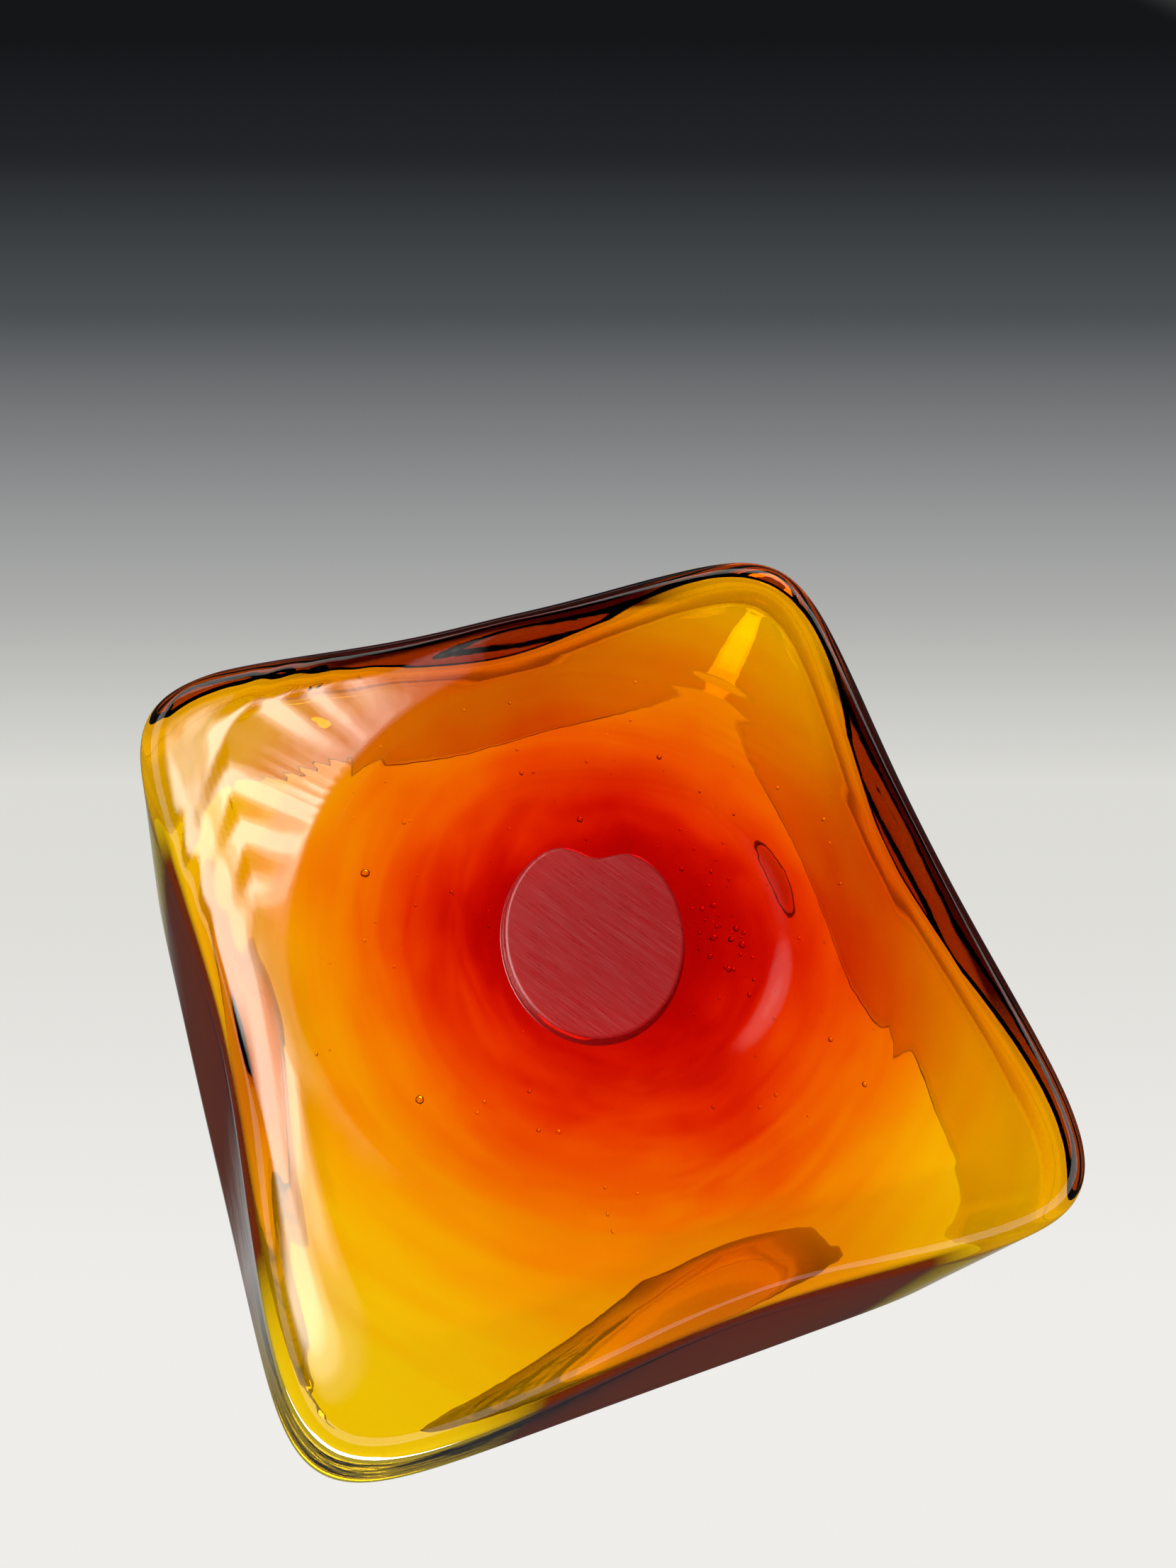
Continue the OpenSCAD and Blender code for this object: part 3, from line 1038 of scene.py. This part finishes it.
ROOM_ASIDE = (0.04, 0.033, 0.028)
ROOM_BELOW = (0.006, 0.006, 0.007)
ROOM_THROUGH = (0.70, 0.70, 0.68)  # aside again, for light through the glass or off the table
BRIGHT_ROOM = (1.35, 1.35, 1.30)
HORIZON = (0.72, 0.72, 0.70)
WINDOWS = (  # direction, reach in degrees, brightness
    (Vector((0.68, 0.29, -0.67)), 43.0, 12.0),
    (Vector((0.10, 0.66, -0.75)), 19.0, 12.0),
)
WINDOW_TONES = [
    (0.0, (1.0, 0.97, 0.90)),
    (0.36, (0.95, 0.92, 0.85)),
    (0.56, (0.42, 0.40, 0.37)),
    (0.78, (0.09, 0.085, 0.08)),
    (1.0, (0.0, 0.0, 0.0)),
]


def direction_dot(tree, place, axis):
    """How far a direction points along an axis: their dot product."""
    dot = node(tree, "ShaderNodeVectorMath", operation="DOT_PRODUCT")
    dot.inputs[1].default_value = axis.normalized()
    tree.links.new(place, dot.inputs[0])
    return dot.outputs["Value"]


def studio_world():
    """A graduated sheet in a room that is dark below the table but for soft windows."""
    world = bpy.data.worlds.new("studio")
    world.use_nodes = True
    tree = world.node_tree
    tree.nodes.clear()
    out = node(tree, "ShaderNodeOutputWorld")
    back = node(tree, "ShaderNodeBackground")
    place = node(tree, "ShaderNodeTexCoord").outputs["Generated"]
    ahead = direction_dot(tree, place, SHEET_AHEAD)
    climb = math_node(tree, "ARCTAN2", direction_dot(tree, place, SHEET_DARK_END), ahead)
    aside = math_node(tree, "ARCTAN2", direction_dot(tree, place, SHEET_SIDE), ahead)
    share = math_node(tree, "DIVIDE", climb, np.radians(SHEET_REACH))
    sheet = ramp_node(tree, share, SHEET_TONES, "LINEAR")
    to_foot = ease(tree, climb, np.radians(-25), 0.0)
    low_sheet = mix_colour(tree, to_foot, SHEET_UNDER, SHEET_FOOT)
    sheet = mix_colour(tree, math_node(tree, "GREATER_THAN", climb, 0.0), low_sheet, sheet)
    beside = ease(tree, math_node(tree, "ABSOLUTE", aside), np.radians(27), np.radians(40))
    height = node(tree, "ShaderNodeSeparateXYZ")
    tree.links.new(place, height.inputs[0])
    high = ease(tree, height.outputs[2], 0.25, 0.6)
    rays = node(tree, "ShaderNodeLightPath")
    passed, scattered = rays.outputs["Is Transmission Ray"], rays.outputs["Is Diffuse Ray"]
    through = math_node(tree, "MAXIMUM", passed, scattered)
    level = mix_colour(tree, through, ROOM_ASIDE, ROOM_THROUGH)
    room = mix_colour(tree, high, level, ROOM_ABOVE)
    behind = math_node(tree, "LESS_THAN", ahead, 0.0)
    under = ease(tree, climb, np.radians(-14), np.radians(-30))
    past = ease(tree, math_node(tree, "ABSOLUTE", aside), np.radians(14), np.radians(28))
    outside_sheet = math_node(tree, "MAXIMUM", math_node(tree, "MAXIMUM", past, behind), under)
    lit = mix_colour(tree, outside_sheet, sheet, room)
    seen = rays.outputs["Is Camera Ray"]
    plain = mix_colour(tree, beside, sheet, BESIDE_SHEET)
    lit = mix_colour(tree, math_node(tree, "MULTIPLY", through, 0.8), lit, BRIGHT_ROOM)
    room = mix_colour(tree, seen, lit, plain)
    low = mix_colour(tree, through, ROOM_ASIDE, BRIGHT_ROOM)
    low = mix_colour(tree, seen, low, HORIZON)
    room = mix_colour(tree, ease(tree, height.outputs[2], 0.40, 0.30), room, low)
    room = mix_colour(tree, ease(tree, height.outputs[2], -0.03, -0.16), room, ROOM_BELOW)
    sill = ease(tree, height.outputs[2], -0.38, -0.58)
    for towards, spread, glow in WINDOWS:
        off = math_node(tree, "ARCCOSINE", direction_dot(tree, place, towards))
        off_share = math_node(tree, "DIVIDE", off, np.radians(spread))
        window = ramp_node(tree, off_share, WINDOW_TONES, "EASE")
        bright = math_node(tree, "MULTIPLY", sill, glow)
        added = node(tree, "ShaderNodeVectorMath", operation="MULTIPLY_ADD")
        tree.links.new(window, added.inputs[0])
        tree.links.new(bright, added.inputs[1])
        tree.links.new(room, added.inputs[2])
        room = added.outputs[0]
    tree.links.new(room, back.inputs["Color"])
    tree.links.new(back.outputs[0], out.inputs["Surface"])
    return world


bpy.context.scene.world = studio_world()


def soft_box(name, towards, distance, width, height, watts):
    """A rectangular lamp that faces the bowl from a direction."""
    data = bpy.data.lights.new(name, "AREA")
    data.shape = "RECTANGLE"
    data.size = width
    data.size_y = height
    data.energy = watts
    lamp = bpy.data.objects.new(name, data)
    lamp.location = Vector(towards).normalized() * distance
    lamp.rotation_euler = (-lamp.location).to_track_quat("-Z", "Y").to_euler()
    bpy.context.scene.collection.objects.link(lamp)
    return lamp


soft_box("overhead", (0.5, -0.6, 1.3), distance=1.7, width=1.0, height=1.0, watts=30)
print("light: a graduated sheet,", len(WINDOWS), "windows and one lamp")

# %% View
bpy.context.scene.view_settings.view_transform = "Standard"
